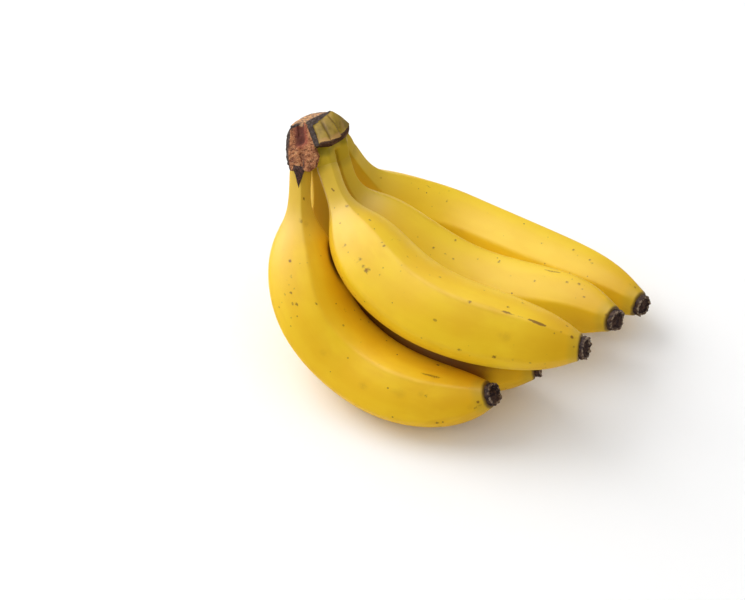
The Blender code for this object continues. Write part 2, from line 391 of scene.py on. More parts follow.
def cameraStand():
    # where the camera stands, and which ways are right, up and back for it
    tilt = math.radians(camera["elevation"])
    right, back = Vector((1, 0, 0)), Vector((0, -math.cos(tilt), math.sin(tilt)))
    return Vector(camera["aim"]) + back * camera["distance"], right, back.cross(right), back


def sightLine(across, down):
    # from the camera to what shows so many pixels across and down the photo
    place, right, up, back = cameraStand()
    wide, high = camera["photo"]
    pixel = camera["sensor"] / camera["lens"] / wide
    return place, (right * (across - wide / 2) + up * (high / 2 - down)) * pixel - back


def makeCamera():
    place, right, up, back = cameraStand()
    data = bpy.data.cameras.new("camera")
    data.lens = camera["lens"]
    data.sensor_width = camera["sensor"]
    data.clip_start, data.clip_end = camera["clip"]
    holder = bpy.data.objects.new("camera", data)
    holder.location = place
    holder.rotation_euler = (-back).to_track_quat("-Z", "Y").to_euler()
    bpy.context.scene.collection.objects.link(holder)
    bpy.context.scene.camera = holder


# what has rubbed or browned the skin: how wide in mm, how strong, and where it shows in the
# photo, in pixels across and down; a mark with more than one place is a line through them
marks = {
    "banana_1": [
        (0.8, 1, (290, 261)), (0.7, 0.8, (291, 276)), (0.7, 0.7, (294, 288)),
        (0.7, 0.8, (291, 293)), (0.8, 0.9, (297, 305)), (0.6, 0.6, (285, 295)),
        (0.7, 0.8, (316, 303)), (0.7, 0.5, (291, 317)), (0.6, 0.4, (284, 250)),
        (0.6, 0.4, (292, 250)), (0.6, 0.6, (287, 281)), (0.6, 0.5, (289, 285)),
        (0.6, 0.3, (301, 268)), (0.9, 0.3, (283, 257)), (0.6, 0.4, (313, 274)),
        (0.6, 0.5, (321, 256)), (0.7, 0.7, (387, 341)), (0.9, 1, (438, 365)),
        (0.6, 0.4, (379, 351)), (1, 0.5, (345, 310)), (0.7, 0.4, (341, 313)),
        (1.6, 0.65, (363, 386)), (2.2, 0.4, (400, 393)), (1.2, 0.35, (394, 391)),
        (1.2, 0.55, (421, 394)), (1, 0.55, (426, 396)), (0.9, 0.8, (437, 423)),
        (0.7, 0.7, (443, 422)), (0.7, 0.8, (478, 402)), (1.2, 0.4, (470, 407)),
        (1.1, 0.5, (301, 221)), (1.2, 0.5, (306, 224)), (0.7, 0.8, (304, 199)),
        (1.6, 0.35, (323, 353)), (0.8, 0.6, (418, 372), (428, 375), (436, 377), (443, 378)),
        (1.4, 0.45, (430, 375), (438, 378)), (1, 0.35, (482, 404), (474, 409)),
    ],
    "banana_3": [
        (1, 0.55, (345, 245)), (0.7, 0.5, (343, 247)), (0.7, 0.35, (353, 241)),
        (1, 0.65, (360, 259)), (0.8, 0.5, (358, 262)), (0.9, 0.7, (363, 266)),
        (1.1, 0.85, (366, 270)), (0.9, 0.7, (369, 269)), (0.8, 0.6, (367, 273)),
        (0.9, 0.45, (380, 275)), (0.8, 0.8, (384, 246)), (0.7, 0.6, (382, 243)),
        (0.8, 0.7, (408, 257)), (0.7, 0.45, (417, 267)), (0.6, 0.4, (436, 276)),
        (0.7, 0.65, (440, 277)), (0.8, 0.8, (470, 302)), (0.6, 0.45, (466, 300)),
        (0.6, 0.6, (484, 290)), (0.9, 0.8, (494, 357)), (0.8, 0.9, (460, 350)),
        (0.7, 0.5, (441, 349)), (0.6, 0.5, (503, 295)), (0.9, 0.7, (508, 307)),
        (0.6, 0.4, (490, 307)), (0.8, 0.7, (523, 303)), (0.8, 0.6, (567, 326)),
        (0.8, 0.5, (561, 332)), (0.8, 0.8, (572, 337)), (0.6, 0.5, (574, 347)),
        (0.8, 0.6, (347, 206)), (0.7, 0.5, (358, 214)), (0.8, 0.7, (370, 220)),
        (0.7, 0.5, (545, 364)), (1, 0.45, (530, 363)), (1, 0.4, (513, 359)), (2, 0.5, (506, 337)),
        (1.2, 0.35, (500, 335)), (0.4, 0.95, (331, 188), (334, 191), (336, 190.5)),
        (0.8, 0.7, (502, 311), (512, 314)), (0.5, 0.4, (512, 314), (528, 319)),
        (0.8, 1, (528, 319), (538, 323), (546, 326)),
        (0.6, 0.4, (390, 240), (396, 239), (402, 241)), (0.6, 0.4, (529, 303), (540, 307.5)),
    ],
    "banana_4": [
        (0.7, 0.5, (418, 237)), (0.8, 0.8, (434, 248)), (0.8, 0.7, (446, 254)),
        (0.9, 0.8, (455, 240)), (0.7, 0.6, (478, 259)), (0.8, 0.7, (499, 262)),
        (0.7, 0.5, (511, 276)), (0.8, 0.7, (535, 281)), (0.7, 0.5, (544, 276)),
        (0.6, 0.4, (548, 288)), (1, 0.6, (567, 282)), (0.6, 0.6, (572, 279)),
        (0.9, 0.7, (579, 284)), (0.7, 0.6, (582, 289)), (0.6, 0.5, (576, 298)),
        (0.7, 0.7, (584, 297)), (0.8, 0.5, (606, 315)),
        (0.8, 0.6, (544, 269.5), (552, 271.5), (560, 272.5)),
    ],
    "banana_5": [
        (1, 0.6, (447, 201)), (0.8, 0.5, (440, 193)), (0.7, 0.5, (449, 191)),
        (0.7, 0.4, (425, 192)), (0.7, 0.6, (494, 223)), (0.9, 0.4, (470, 207)),
        (0.7, 0.4, (487, 213)), (0.7, 0.6, (541, 243)), (0.8, 0.8, (574, 250)),
        (0.7, 0.6, (577, 255)), (0.6, 0.4, (565, 248)), (0.6, 0.4, (567, 257)),
        (0.8, 0.7, (590, 260)), (0.8, 0.6, (592, 263)), (0.6, 0.4, (585, 262)),
        (0.8, 0.5, (381, 178)), (0.6, 0.4, (630, 284)), (0.6, 0.5, (426, 185), (431, 188)),
    ],
}


def smoothThrough(knots, values, places):
    # the smooth curve through the values at the knots, read at the places
    knots, values = np.asarray(knots, float), np.asarray(values, float)
    count, step = len(knots), np.diff(knots)
    system, right = np.eye(count), np.zeros_like(values)
    for i in range(1, count - 1):
        system[i, i - 1:i + 2] = step[i - 1], 2 * (step[i - 1] + step[i]), step[i]
        slopes = np.diff(values[i - 1:i + 2], axis=0)
        right[i] = 6 * (slopes[1] / step[i] - slopes[0] / step[i - 1])
    bend = np.linalg.solve(system, right)
    part = np.clip(np.searchsorted(knots, places, side="right") - 1, 0, count - 2)
    width, after = step[part], (places - knots[part]) / step[part]
    before = 1 - after
    if values.ndim > 1:
        after, before, width = after[:, None], before[:, None], width[:, None]
    sag = (before ** 3 - before) * bend[part] + (after ** 3 - after) * bend[part + 1]
    return before * values[part] + after * values[part + 1] + sag * width ** 2 / 6


def girthAt(share):
    shares, radii = np.array(fingerForm["girth"]).T
    return fingerForm["bodyRadius"] * mm * smoothThrough(shares, radii, np.asarray(share, float))


class Course:
    # a finger's centre line and how thick it is along it

    def __init__(self, settings):
        points = placed(settings["route"])
        reach = np.concatenate([[0], np.cumsum(np.linalg.norm(np.diff(points, axis=0), axis=1))])
        fine = smoothThrough(reach, points, np.linspace(0, reach[-1], courseForm["finePoints"]))
        along = np.concatenate([[0], np.cumsum(np.linalg.norm(np.diff(fine, axis=0), axis=1))])
        self.length = along[-1] - fingerForm["endLength"] * mm / 2
        self.share = np.linspace(0, 1, courseForm["points"])
        self.centre = np.stack([np.interp(self.share * self.length, along, fine[:, k])
                                for k in range(3)], axis=1)
        self.way = np.gradient(self.centre, axis=0)
        self.way /= np.linalg.norm(self.way, axis=1)[:, None]
        self.fullness = settings["fullness"]
        self.turn = math.radians(settings["turn"])
        side = np.cross(self.way[courseForm["fromEnds"]], self.way[-courseForm["fromEnds"]])
        self.bendSide = side / np.linalg.norm(side)

    def thicken(self, share):
        # how much fuller or thinner than the common finger it is, body only
        swell = girthAt(share)
        body = fingerForm["bodyRadius"] * mm
        stalk = fingerForm["stalkRadius"] * mm
        return 1 + (self.fullness - 1) * np.clip((swell - stalk) / (body - stalk), 0, 1)

    def radius(self, share):
        return girthAt(share) * self.thicken(share)

    def frames(self, share):
        share = np.clip(share, 0, 1)
        centre = np.stack([np.interp(share, self.share, self.centre[:, k]) for k in range(3)], 1)
        way = np.stack([np.interp(share, self.share, self.way[:, k]) for k in range(3)], 1)
        way /= np.linalg.norm(way, axis=1)[:, None]
        across = self.bendSide - way * (way @ self.bendSide)[:, None]
        across /= np.linalg.norm(across, axis=1)[:, None]
        return centre, way, across, np.cross(way, across)

    def bend(self, straight, length):
        # takes points of a straight finger, which stands along Z, to their places round the
        # curve; a Curve modifier would roll the ridges round where the stalk turns
        share = straight[:, 2] / length
        centre, way, across, outer = self.frames(share)
        turned = np.arctan2(straight[:, 1], straight[:, 0]) + self.turn
        reach = np.hypot(straight[:, 0], straight[:, 1]) * self.thicken(np.clip(share, 0, 1))
        beyond = (share - np.clip(share, 0, 1)) * self.length
        spoke = across * np.cos(turned)[:, None] + outer * np.sin(turned)[:, None]
        return centre + way * beyond[:, None] + spoke * reach[:, None], centre


courses = {node: Course(settings) for node, settings in fingers.items()}


def straightFinger():
    # one straight finger standing on its stalk, which every banana starts as a copy of
    form = fingerForm
    length = form["straightLength"] * mm
    finger = addCylinder("straightFinger", form["sides"], 1.0, length, length / 2)
    bpy.ops.object.mode_set(mode="EDIT")
    for share in form["rings"][1:-1]:
        cutAcross(share * length)
    for share in form["rings"]:
        widen(float(girthAt([share])[0]), atHeight(share * length))
    step = math.tau / form["ridges"]
    start, neck, end = form["ridgeSpan"]

    def onLine(wanted, low, high):
        def test(co):
            off = (math.atan2(co.y, co.x) - wanted + math.pi) % math.tau - math.pi
            return abs(off) < form["lineTurn"] and low * length < co.z < high * length
        return test

    for number, height in enumerate(form["ridgeHeights"]):
        for turn, part in form["flats"]:
            for low, high, more in ((start, neck, form["stalkRidge"]), (neck, end, 1.0)):
                widen(1 + part * height * more, onLine((number + turn) * step, low, high))
        editSelected(onLine(number * step, start, end))
        bpy.ops.transform.edge_crease(value=form["crease"])
    bpy.ops.object.mode_set(mode="OBJECT")
    levels = form["subdivisions"]
    applyModifier(finger, "SUBSURF", levels=levels, render_levels=levels)
    points = readPoints(finger.data)
    middle, span = form["middle"]
    near = np.abs(points[:, 2] - middle * length) < span * length
    shrunk = np.hypot(points[near, 0], points[near, 1]).mean() / girthAt([middle])[0]
    points[:, :2] /= shrunk            # subdivision draws a shape in a little
    low, high = points[:, 2].min(), points[:, 2].max()
    points[:, 2] = (points[:, 2] - low) / (high - low) * length
    writePoints(finger.data, points)
    return finger


def nearestOn(points, other):
    # how far each point is from another finger's centre line, and how thick that finger is there
    some = slice(None, None, courseForm["everyOther"])
    apart = np.linalg.norm(points[:, None, :] - other.centre[None, some, :], axis=2)
    nearest = apart.argmin(axis=1)
    return apart[np.arange(len(points)), nearest], other.radius(other.share[some])[nearest]


def pressIn(points, centres, others):
    # fingers that would overlap are pressed flat against each other
    inward = centres - points
    inward /= np.linalg.norm(inward, axis=1)[:, None] + tiny
    for other in others:
        apart, thick = nearestOn(points, other)
        overlap = thick * (1 + fingerForm["standOff"]) + fingerForm["gap"] * mm - apart
        points = points + inward * (np.clip(overlap, 0, None) * fingerForm["pressShare"])[:, None]
    return points


# least half widths in mm of a spot and of a line, the width from which a mark is a bruise, how
# many places a line is measured from, how pointed its ends are, and how softly a mark runs out
markForm = {"smallest": 0.40, "finest": 0.36, "bruise": 1.2, "steps": 17, "pointed": 0.6,
            "runOut": 1.5}


def skinFinder(mesh, points, flat, share):
    # a function that finds where on a finger a place of the photo is: the share of the way along
    # it, and the angle round the straight finger
    faces = [list(face.vertices) for face in mesh.polygons]
    tree = BVHTree.FromPolygons(points.tolist(), faces)

    def find(across, down):
        hit, _, face, _ = tree.ray_cast(*sightLine(across, down))
        if face is None:
            return None                # the sight line passes the finger by
        corners = faces[face]
        parts = np.array(poly_3d_calc([Vector(points[corner]) for corner in corners], hit))
        x, y = parts @ flat[corners, :2]
        return parts @ share[corners], math.atan2(y, x)
    return find


def markFields(node, share, angle, find):
    # how marked and how bruised each point of a finger is, measured on the skin unrolled
    strength, bruise = np.zeros(len(share)), np.zeros(len(share))
    around = girthAt(share)
    for width, amount, *places in marks.get(node, []):
        spots = [find(*place) for place in places]
        if None in spots:
            continue
        isLine = len(spots) > 1
        knots = np.linspace(0, 1, len(spots))
        steps = np.linspace(0, 1, markForm["steps"] if isLine else 1)
        alongs, turns = (np.interp(steps, knots, part) for part in np.array(spots).T)
        best = np.full(len(share), np.inf)
        for step, along, turn in zip(steps, alongs, turns):
            off = (angle - turn + math.pi) % math.tau - math.pi
            away = np.hypot((share - along) * courses[node].length, off * around)
            least = markForm["finest" if isLine else "smallest"]
            # a line runs out to a point at both ends
            ending = 1 - markForm["pointed"] * (2 * step - 1) ** 2 if isLine else 1
            best = np.minimum(best, away / (max(width, least) * mm * ending))
        part = amount * np.clip(markForm["runOut"] - best, 0, 1)
        if width < markForm["bruise"]:
            strength = np.maximum(strength, part)
        else:
            bruise = np.maximum(bruise, part)
    return strength, bruise


def touchField(points, others, reach):
    # 1 where the skin lies against another finger, fading out over the reach in mm: where the
    # browning and the painted crevice shade go
    closest = np.full(len(points), np.inf)
    for other in others:
        apart, thick = nearestOn(points, other)
        closest = np.minimum(closest, apart - thick)
    return np.clip(1 - (closest - fingerForm["gap"] * mm) / (reach * mm), 0, 1)


def makeBanana(node, settings, straight):
    form, course = fingerForm, courses[node]
    others = [other for name, other in courses.items() if name != node]
    banana = ownCopy(straight, settings["piece"])
    edges = edgePairs(banana.data)
    length = form["straightLength"] * mm
    flat = readPoints(banana.data)
    angle = np.arctan2(flat[:, 1], flat[:, 0])
    share = flat[:, 2] / length
    number = list(fingers).index(node)
    straightened = flat.copy()
    straightened[:, 2] = share * course.length
    away = Vector((0, 0, form["waveApart"] * number))
    wave = np.array([noise.noise(Vector(p) * form["waveScale"] + away) for p in straightened])
    body = risen(share, *form["waveStart"]) * risen(share, *form["waveEnd"])
    flat[:, :2] *= (1 + form["waveHeight"] * wave * body)[:, None]
    points, centres = course.bend(flat, length)
    pressed = pressIn(points, centres, others) - points
    points = points + softened(pressed, edges, form["pressSoftness"])
    # the painted crevice shade, with the browning, where another finger lies close
    reach, start = settings.get("touchShade", form["touchShade"])
    touchShade = softened(touchField(points, others, reach), edges, form["touchShadeSoftness"])
    touchShade *= risen(share, start, form["touchShadeFade"]) * risen(share, *form["touchShadeEnd"])
    points[:, 2] = np.maximum(points[:, 2], 0.0)      # soft fruit lies flat on the table
    points = np.clip(points, boxLow, boxHigh)
    writePoints(banana.data, points)
    find = skinFinder(banana.data, points, flat, share)
    marked, bruised = markFields(node, share, angle, find)
    straightened[:, 2] += form["patternApart"] * number
    writeField(banana.data, "peel", straightened, "FLOAT_VECTOR")
    fields = {"share": share, "ridge": np.cos(form["ridges"] * angle), "mark": marked,
              "green": np.full(len(share), settings["green"]), "bruise": bruised, "touchShade": touchShade}
    for name, values in fields.items():
        writeField(banana.data, name, values)
    smoothFaces(banana)
    return banana


endForm = {
    "sides": 24, "radius": 5.35, "length": 4.2, "sink": 1.5, "rings": (0.3, 0.7), "levels": 2,
    # from the rim inwards: how wide each step is, as a share of the radius, and how high in mm
    "steps": [(0.17, 0.0), (0.10, -1.2), (0.28, 0.0), (0.08, 0.8), (0.12, 0.0)],
    # the grain and the lobes that make it lumpy, how much of each goes into its width and into
    # its height in mm, and where the pale rim starts, outwards and upwards
    "grain": 520, "fractal": (0.8, 2.0, 3), "grainApart": 9.0, "lobes": 2.1, "lobesApart": 5.0,
    "uneven": 0.12, "widthLobes": 1.1, "widthGrain": 0.8, "heightLobes": 0.55, "heightGrain": 0.55,
    "rimFrom": (0.66, 0.2), "rimAbove": (0.72, 0.2),
    # how far each end leans towards where its flower faced, and which way that was
    "lean": [0.10, 0.0, 0.24, 0.08, 0.06], "faced": (0.0, -0.67, 0.74),
}


def blossomEnd():
    # a short rough disc with a lumpy rim, a hollow, and the stub of the flower in it
    form = endForm
    length = form["length"] * mm
    end = addCylinder("blossomEnd", form["sides"], form["radius"] * mm, length, length / 2)
    bpy.ops.object.mode_set(mode="EDIT")
    for share in form["rings"]:
        cutAcross(share * length)
    editSelected(atHeight(length))
    for width, height in form["steps"]:
        bpy.ops.mesh.inset(thickness=width * form["radius"] * mm, depth=height * mm)
    bpy.ops.object.mode_set(mode="OBJECT")
    applyModifier(end, "SUBSURF", levels=form["levels"], render_levels=form["levels"])
    return end


def makeBlossomEnd(number, course, disc):
    form = endForm
    end = ownCopy(disc, "blossomEnd" + str(number))
    points = readPoints(end.data)
    angle = np.arctan2(points[:, 1], points[:, 0])
    radial = np.hypot(points[:, 0], points[:, 1]) / (form["radius"] * mm)
    height = points[:, 2] / (form["length"] * mm)
    away = Vector((form["grainApart"] * number, 0, 0))
    reach, side = form["lobes"], form["lobesApart"] * number
    rough = np.array([noise.fractal(Vector(p) * form["grain"] + away, *form["fractal"])
                      for p in points])
    lobes = np.array([noise.noise(Vector((math.cos(a) * reach, math.sin(a) * reach, side)))
                      for a in angle])
    wider = lobes * form["widthLobes"] + rough * form["widthGrain"]
    points[:, :2] *= (1 + form["uneven"] * wider * np.clip(height * 2, 0, 1))[:, None]
    higher = form["heightLobes"] * lobes + form["heightGrain"] * rough
    points[:, 2] += mm * higher * np.clip(height, 0, 1)
    writeField(end.data, "rim", risen(radial, *form["rimFrom"]) * risen(height, *form["rimAbove"]))
    centre, way, across, outer = (Vector(v[0]) for v in course.frames(np.array([1.0])))
    leaning = (way + Vector(form["faced"]) * form["lean"][number - 1]).normalized()
    basis = way.rotation_difference(leaning).to_matrix() @ Matrix((across, outer, way)).transposed()
    place = Matrix.Translation(centre - way * form["sink"] * mm) @ basis.to_4x4()
    turned = np.array(place.to_3x3()) @ points.T
    writePoints(end.data, turned.T + np.array(place.translation))
    smoothFaces(end)
    return end


crownForm = {
    "grain": 0.42, "smoothing": 0.5, "softness": 4, "skirtSoftness": 6, "cuts": 2,
    "rounding": 0.25, "sleeveSides": 40,
    # the skirt's rings: the share of the way along a stalk, and the swell of the stalk there
    "skirtRings": [(-0.048, 0.95), (-0.014, 0.90)], "ringPoints": 10,
    # the skirt goes on up inside the ribs, to these places in mm
    "skirtCore": [(-68, 36, 100), (-64, 41, 100), (-60, 46, 96), (-58, 50, 92), (-63, 53, 91),
                  (-69, 48, 95)],
    # how far down the stalk a sleeve reaches, and its wall in mm there
    "sleeve": [(-0.055, 0.1), (-0.025, 0.4), (0.0, 0.4), (0.010, 0.22), (0.019, 0.0),
               (0.026, -0.25), (0.033, -0.6)],
    "thinSleeve": [(-0.004, 0.4), (0.004, 0.4), (0.015, 0.3), (0.03, -0.4)],
    # the corners of each form's near face in mm, how far it reaches back and, where they aren't
    # the usual ones, how far its near face is drawn in and how often it is rounded off
    "lumps": {
        "ribFront": (
            [(-72.2, 37.2, 105.4), (-67.4, 41.5, 105.9), (-64.6, 34.7, 105.5),
             (-61.7, 28.3, 103.5), (-68.2, 26.5, 103.6)], (-1, 10, -12)),
        "ribMiddle": (
            [(-67.9, 41, 105.7), (-64.2, 45.9, 105.1), (-60.4, 39.9, 104.6), (-57, 33.7, 101.7),
             (-62, 28.7, 103.1), (-64.9, 35.1, 105.2)], (-3, 10, -12)),
        "ribRear": (
            [(-64.6, 45.4, 104.9), (-62.3, 49.3, 104.2), (-57.8, 49.6, 100.4),
             (-53.6, 50.2, 94.9), (-54, 45, 94.9), (-57, 35.4, 100), (-60.7, 40.9, 103.6)],
            (-6, 8, -10)),
        "lip": (
            [(-69.8, 25.2, 102.6), (-67.7, 26.6, 104.3), (-62.1, 27.9, 104), (-57.4, 34.8, 101.1),
             (-53.8, 45.3, 95.9), (-53.7, 49.0, 95.4), (-54.5, 48.6, 93.6), (-54.3, 43.9, 93.9),
             (-56.8, 34.8, 98.4), (-62.1, 27, 101.5)], (-5, 6, -6)),
        "cutLeft": (
            [(-84.2, 37.9, 99.3), (-82.2, 40.3, 102.2), (-78.8, 40.9, 104), (-77, 39.8, 102.1),
             (-77, 27, 99.2), (-76.6, 17.5, 94.4), (-81.9, 18, 93.2), (-83.8, 24.1, 93.5),
             (-84.5, 31.5, 96.2)], (4, 11, -8)),
        "cutRight": (
            [(-77.2, 39.1, 102), (-76, 40.8, 104.6), (-73.5, 38.2, 105.2), (-70.3, 26.6, 102.3),
             (-68.4, 21.9, 98.9), (-69.6, 18.4, 95.8), (-72.9, 16.6, 94.2), (-76.2, 17.5, 94.7),
             (-76.7, 27, 99.2)], (2, 12, -8)),
        "cutCore": (
            [(-79.3, 40.1, 102.4), (-75, 39.5, 104.2), (-72.9, 26.7, 99.5), (-72.4, 17.8, 94.4),
             (-80, 18.4, 93.8), (-80.1, 27.6, 98.6)], (2, 12, -8), 0),
        "top": (
            [(-83.2, 41.6, 100.6), (-79, 44.9, 101.6), (-74.4, 51.6, 99.5), (-68.7, 53.8, 98.8),
             (-63.4, 53.7, 99.4), (-68, 45.7, 102.3), (-73.1, 39.6, 104.2), (-77.4, 40, 103.2)],
            (2, 2, -12)),
        "strip": (
            [(-75.7, 39.8, 103.7), (-74.6, 41.6, 103.9), (-71.2, 42.7, 105), (-67, 46.4, 104.3),
             (-62.8, 50.1, 103.6), (-61.6, 48.1, 103.7), (-64.6, 43.7, 104.5),
             (-67.9, 39.7, 105.5), (-71.1, 37.1, 105.8), (-74, 37.5, 104.6)], (0, 3, -6), 0),
        "band": (
            [(-74.2, 37.7, 105.3), (-71.4, 37, 106.4), (-67.4, 25.2, 103.3),
             (-69.8, 24.9, 102.5)], (0, 8, -9), 0.05),
        "flap": (
            [(-80.3, 19.1, 94.5), (-74.6, 18.5, 94.7), (-75.3, 23.3, 94.9), (-80.1, 24, 94.9),
             (-77.9, 13.8, 86.8)], (0, 1.4, 0.6), 0, 0),
    },
}


def growLump(name, corners, back, drawnIn=0.03, rounded=1):
    # a block with the near face's corners, hulled, cut finer and smoothed, as tissue is
    lump = addCylinder(name, len(corners), mm, mm)
    near = placed(corners)
    points = readPoints(lump.data)
    points[1::2] = near + (near.mean(axis=0) - near) * drawnIn
    points[0::2] = near + np.array(back) * mm
    writePoints(lump.data, points)
    bpy.ops.object.mode_set(mode="EDIT")
    hullPoints()
    if rounded:
        bpy.ops.mesh.subdivide(number_cuts=crownForm["cuts"])
        bpy.ops.mesh.vertices_smooth(factor=crownForm["rounding"], repeat=rounded)
    bpy.ops.object.mode_set(mode="OBJECT")
    return lump


def growSkirt():
    # the skirt round the stalk roots, where they run together below the ribs
    length = fingerForm["straightLength"] * mm
    stalks = [course for node, course in courses.items() if node != "banana_1"]
    count = crownForm["ringPoints"]
    angles = np.linspace(0, math.tau, count, endpoint=False)
    wrapped = []
    for course in stalks:
        for share, swell in crownForm["skirtRings"]:
            reach = fingerForm["stalkRadius"] * mm * swell
            ring = np.stack([np.cos(angles) * reach, np.sin(angles) * reach,
                             np.full(count, share * length)], axis=1)
            wrapped.append(course.bend(ring, length)[0])
    wrapped.append(placed(crownForm["skirtCore"]))
    wrapped = np.concatenate(wrapped)
    skirt = addCylinder("skirt", math.ceil(len(wrapped) / 2), mm, mm)
    spare = len(skirt.data.vertices) - len(wrapped)
    writePoints(skirt.data, np.concatenate([wrapped, wrapped[-1:].repeat(spare, axis=0)]))
    bpy.ops.object.mode_set(mode="EDIT")
    hullPoints()
    bpy.ops.mesh.subdivide(number_cuts=crownForm["cuts"])
    bpy.ops.object.mode_set(mode="OBJECT")
    return skirt


def growSleeve(node, course):
    # a sleeve round a stalk's root, ridged as the stalk is, that thins out to nothing
    length = fingerForm["straightLength"] * mm
    walls = crownForm["thinSleeve" if node == "banana_1" else "sleeve"]
    low, high = walls[0][0], walls[-1][0]
    sleeve = addCylinder("sleeve_" + node, crownForm["sleeveSides"], 1.0, (high - low) * length,
                         (low + high) / 2 * length)
    bpy.ops.object.mode_set(mode="EDIT")
    for share, wall in walls[1:-1]:
        cutAcross(share * length)
    for share, wall in walls:
        widen(float(girthAt([max(share, 0.0)])[0]) + wall * mm, atHeight(share * length))
    bpy.ops.object.mode_set(mode="OBJECT")
    points = readPoints(sleeve.data)
    turn, part = np.array(fingerForm["flats"] + [(1.0, 1.0)]).T
    steps = np.arctan2(points[:, 1], points[:, 0]) / math.tau * fingerForm["ridges"]
    height = fingerForm["stalkRidge"] * np.mean(fingerForm["ridgeHeights"])
    points[:, :2] *= (1 + height * np.interp(steps % 1, turn, part))[:, None]
    writePoints(sleeve.data, course.bend(points, length)[0])
    return sleeve


# lines along the crown, in mm, each with its width and how strong it is: dried dark edges, the
# grooves between the ribs, the reddish hollow and its blush, and where the tones change
crownLines = {
    "dry": [
        ([(-83.4, 21.6, 92.7), (-84.3, 30.6, 95.7), (-84.1, 37, 98.8),
          (-82.2, 40.2, 102), (-77.9, 41.6, 103.9)],
         1.5, 1.0),
        ([(-82.9, 20.2, 92.7), (-80, 17.5, 93.7), (-77.1, 17.3, 94.2),
          (-72.9, 16.4, 94.1), (-69.6, 18.3, 95.5), (-68.2, 22.2, 98.6)],
         0.8, 0.7),
    ],
    "groove": [
        ([(-67.4, 40.8, 105.9), (-64.7, 34.8, 105.4), (-61.8, 28.7, 103.5)], 0.75, 1.0),
        ([(-64.2, 45.3, 105.3), (-60.5, 40.2, 104.3), (-57.1, 34.3, 101.4)], 0.75, 1.0),
    ],
    "blush": [
        ([(-76.9, 38.9, 101.6), (-75.9, 31.4, 100.2)], 4.2, 1.0),
    ],
    "tan": [
        ([(-68.4, 26.6, 103.6), (-62, 28.4, 103.5), (-57.2, 35, 100.6)], 2.6, 1.0),
        ([(-72, 37, 105.4), (-68.2, 26.5, 103.6)], 1.0, 0.7),
    ],
    "under": [
        ([(-67, 27, 100), (-62.1, 27, 101), (-56.8, 34.8, 98.4), (-54.3, 43.9, 93.9),
          (-54.5, 50, 90)],
         3.6, 1.0),
    ],
    "lipLine": [
        ([(-68.5, 25.2, 102.9), (-62.1, 26.8, 102.3), (-56.6, 34.4, 99.4), (-53.8, 44.6, 94.7)],
         0.45, 1.0),
    ],
    "hollow": [
        ([(-77.4, 38.2, 100.9), (-77.1, 32.5, 99.8)], 3.1, 1.0),
        ([(-76.8, 32.5, 99.8), (-75.8, 26.5, 98.4), (-75.7, 19.8, 95.8)], 1.2, 0.6),
    ],
}


def nearLine(points, line):
    # how far each point is from a broken line
    corners = placed(line)
    best = np.full(len(points), np.inf)
    for start, end in zip(corners[:-1], corners[1:]):
        way = end - start
        along = np.clip((points - start) @ way / (way @ way), 0, 1)
        best = np.minimum(best, np.linalg.norm(points - start - along[:, None] * way, axis=1))
    return best


crownGroups = {
    "cut": ["cutLeft", "cutRight", "cutCore"], "top": ["top"], "flap": ["flap"], "lip": ["lip"],
    "rib": ["ribFront", "ribMiddle", "ribRear"], "dark": ["band", "strip"],
}
crownRelief = {
    # how softly groups and lines run out, and how far aside or back a dried face looks
    "maskSoftness": 2, "lineEdge": (1.6, 1.1),
    "driedSide": (0.50, 0.25), "driedBack": (0.35, 0.3),
    "fibre": (640, 640, 420), "fibreFractal": (0.7, 2.1, 3),
    "grain": 480, "grainFractal": (0.9, 2.0, 2),
    # in mm: how high the fibre and the grain stand on each tissue, and how deep the lines go
    "cutFibre": 0.42, "cutLift": 0.08, "topFibre": 0.16, "darkGrain": 0.16, "groove": 0.30,
    "hollow": 1.5, "hollowFibre": 0.7, "dryGrain": 0.12, "lipGrain": 0.08,
}


def findMasks(points, trees, edges):
    # for each group of tissue, 1 where that group is nearest
    apart = np.array([[tree.find_nearest(Vector(p))[3] for tree in trees.values()]
                      for p in points])
    nearest, names = apart.argmin(axis=1), list(trees)
    masks = {}
    for group, members in crownGroups.items():
        inGroup = np.isin(nearest, [names.index(member) for member in members])
        masks[group] = softened(inGroup.astype(float), edges, crownRelief["maskSoftness"])
    return masks


def findLines(points, masks):
    # for each kind of line, how strong it is, fading out across its width
    full, fall = crownRelief["lineEdge"]
    for field, lines in crownLines.items():
        masks[field] = np.zeros(len(points))
        for line, width, amount in lines:
            part = amount * np.clip(full - nearLine(points, line) / (width * mm) * fall, 0, 1)
            masks[field] = np.maximum(masks[field], part)


def raiseTissue(mesh, points, masks):
    relief = crownRelief
    shape = bmesh.new()
    shape.from_mesh(mesh)
    shape.normal_update()
    normals = np.array([vertex.normal for vertex in shape.verts])
    shape.free()
    # the outer side of the old stem has dried dark, all round the cut
    dried = np.maximum(risen(-normals[:, 0], *relief["driedSide"]),
                       risen(normals[:, 1], *relief["driedBack"]))
    masks["dry"] = np.maximum(masks["dry"], (masks["cut"] + masks["top"]) * dried)
    x, y, z = relief["fibre"]
    fibre = np.array([noise.fractal(Vector((p[0] * x, p[1] * y, p[2] * z)),
                                    *relief["fibreFractal"]) for p in points])
    grain = np.array([noise.fractal(Vector(p) * relief["grain"], *relief["grainFractal"])
                      for p in points])
    raised = (masks["cut"] * (relief["cutFibre"] * fibre + relief["cutLift"])
              + masks["top"] * relief["topFibre"] * fibre
              + (masks["dark"] + masks["flap"]) * relief["darkGrain"] * grain
              - relief["groove"] * masks["groove"]
              - masks["hollow"] * (relief["hollow"] + relief["hollowFibre"] * fibre)
              + relief["dryGrain"] * masks["dry"] * grain
              + relief["lipGrain"] * masks["lip"] * grain)
    writePoints(mesh, points + normals * (mm * raised)[:, None])


